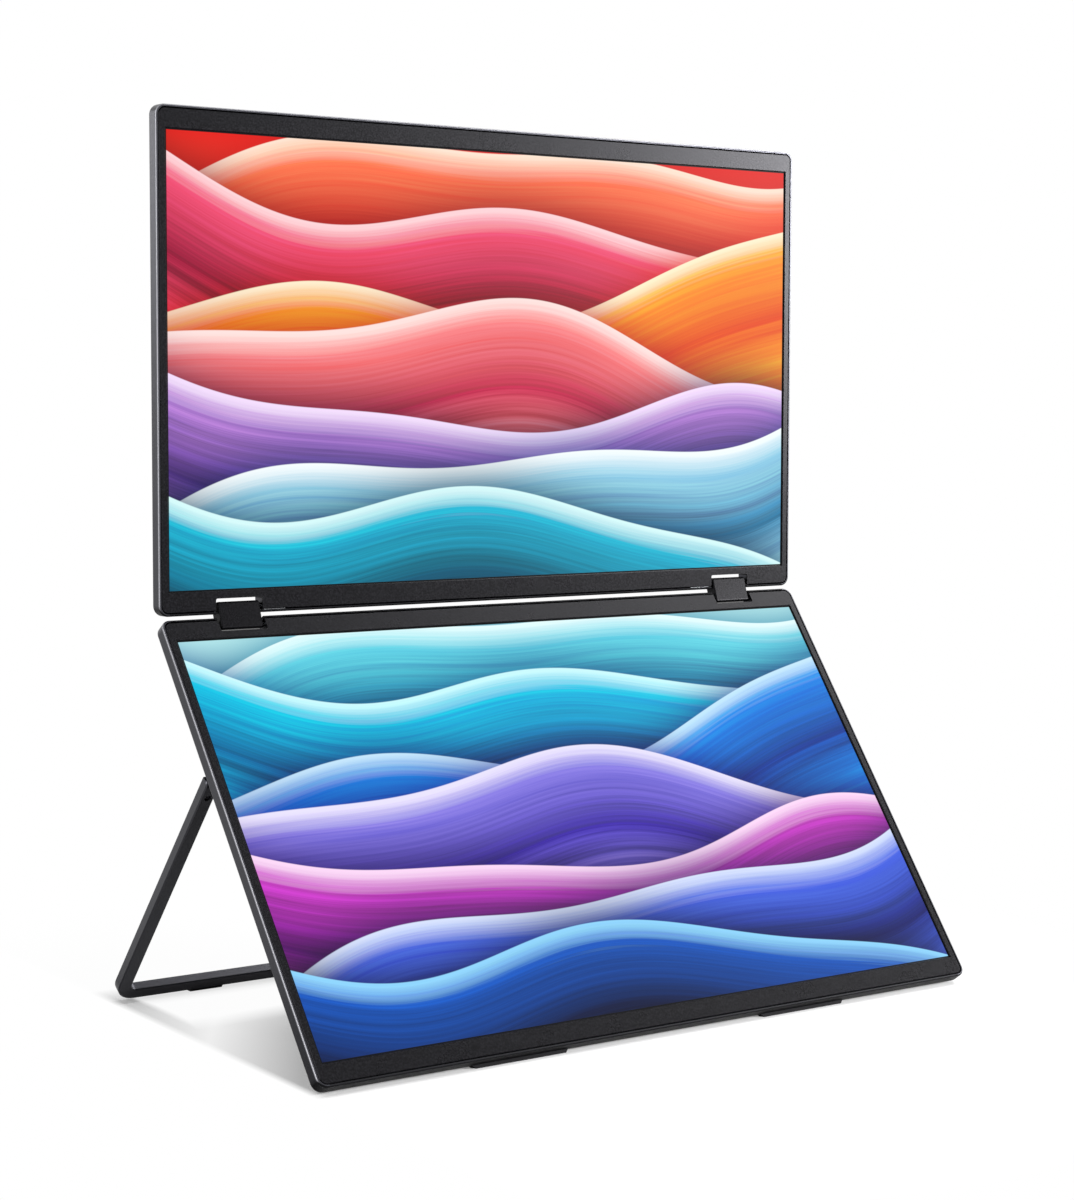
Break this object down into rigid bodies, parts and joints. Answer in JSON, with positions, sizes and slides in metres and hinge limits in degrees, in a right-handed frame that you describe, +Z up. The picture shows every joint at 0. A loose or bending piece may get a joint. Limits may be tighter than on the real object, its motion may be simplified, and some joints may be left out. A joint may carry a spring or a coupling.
{
  "type": "dual portable monitor",
  "caption": "Two thin portable screens stacked on twin-axis hinges that fold face to face, standing on a U-shaped swing-out kickstand with rubber feet.",
  "frame": {"origin": "on the floor, under the middle of the standing part's box", "axes": "+Z up, +X along the hinge to the viewer's right, -Y the way the pictures face"},
  "size_m": [0.3536, 0.1736, 0.3873],
  "materials": {
    "cover_metal": "dark grey anodised, satin",
    "stand_metal": "dark grey anodised, satin",
    "hinge_shell": "charcoal, matte",
    "bezel_plastic": "charcoal, fine grain",
    "housing_plastic": "charcoal, fine grain",
    "button_plastic": "black, satin",
    "speaker_plastic": "black, matte",
    "picture_glass": "lit picture behind an anti-glare face",
    "backlight_plastic": "white tray",
    "circuit_board": "green solder mask",
    "socket_steel": "nickel plated",
    "hinge_steel": "bright steel",
    "screw_steel": "blackened",
    "sleeve_bronze": "bronze spring",
    "foot_rubber": "black, matte"
  },
  "bodies": {
    "lower_monitor": {"lower_rear_cover": "cover_metal", "lower_bezel": "bezel_plastic", "lower_lcd_panel": "picture_glass", "lower_backlight": "backlight_plastic", "lower_cover_screws": "screw_steel", "lower_hinge_screws": "screw_steel", "lower_left_hinge_bracket": "hinge_steel", "lower_right_hinge_bracket": "hinge_steel", "lower_left_hinge_shaft": "hinge_steel", "lower_right_hinge_shaft": "hinge_steel", "electronics_cover": "housing_plastic", "housing_screws": "screw_steel", "main_board": "circuit_board", "usb_c_sockets": "socket_steel", "mini_hdmi_socket": "socket_steel", "key_board": "circuit_board", "left_speaker": "speaker_plastic", "right_speaker": "speaker_plastic", "left_stand_bracket": "hinge_steel", "lower_spring_washers": "hinge_steel", "lower_hinge_nuts": "hinge_steel", "right_stand_bracket": "hinge_steel", "stand_bracket_screws": "screw_steel", "lower_feet": "foot_rubber"},
    "hinge_links": {"left_hinge_block": "hinge_shell", "right_hinge_block": "hinge_shell", "left_hinge_cap": "hinge_shell", "right_hinge_cap": "hinge_shell", "left_friction_sleeves": "sleeve_bronze", "right_friction_sleeves": "sleeve_bronze"},
    "upper_monitor": {"upper_rear_cover": "cover_metal", "upper_bezel": "bezel_plastic", "upper_lcd_panel": "picture_glass", "upper_backlight": "backlight_plastic", "upper_driver_board": "circuit_board", "upper_cover_screws": "screw_steel", "upper_hinge_screws": "screw_steel", "upper_left_hinge_bracket": "hinge_steel", "upper_right_hinge_bracket": "hinge_steel", "upper_left_hinge_shaft": "hinge_steel", "upper_right_hinge_shaft": "hinge_steel", "upper_spring_washers": "hinge_steel", "upper_hinge_nuts": "hinge_steel"},
    "kickstand": {"kickstand_frame": "stand_metal", "kickstand_pins": "hinge_steel", "kickstand_screws": "screw_steel", "kickstand_feet": "foot_rubber"},
    "power_button": {"power_button": "button_plastic"},
    "menu_button": {"menu_button": "button_plastic"},
    "plus_button": {"plus_button": "button_plastic"},
    "minus_button": {"minus_button": "button_plastic"}
  },
  "joints": [
    {"name": "lower_hinge", "type": "hinge", "parent": "lower_monitor", "child": "hinge_links", "pos_m": [0, 0.04525, 0.16851], "axis": [1, 0, 0], "range_deg": [-17.9, 72.1]},
    {"name": "upper_hinge", "type": "hinge", "parent": "hinge_links", "child": "upper_monitor", "pos_m": [0, 0.04813, 0.1764], "axis": [1, 0, 0], "range_deg": [-17.9, 72.1]},
    {"name": "kickstand_swing", "type": "hinge", "parent": "lower_monitor", "child": "kickstand", "pos_m": [0, 0.00605, 0.10903], "axis": [1, 0, 0], "range_deg": [-74.4, 15.6]},
    {"name": "power_button_press", "type": "slide", "parent": "lower_monitor", "child": "power_button", "axis": [1, 0, 0], "range_m": [0, 0.0005], "stiffness_N_per_m": 2000},
    {"name": "menu_button_press", "type": "slide", "parent": "lower_monitor", "child": "menu_button", "axis": [1, 0, 0], "range_m": [0, 0.0005], "stiffness_N_per_m": 2000},
    {"name": "plus_button_press", "type": "slide", "parent": "lower_monitor", "child": "plus_button", "axis": [1, 0, 0], "range_m": [0, 0.0005], "stiffness_N_per_m": 2000},
    {"name": "minus_button_press", "type": "slide", "parent": "lower_monitor", "child": "minus_button", "axis": [1, 0, 0], "range_m": [0, 0.0005], "stiffness_N_per_m": 2000}
  ]
}
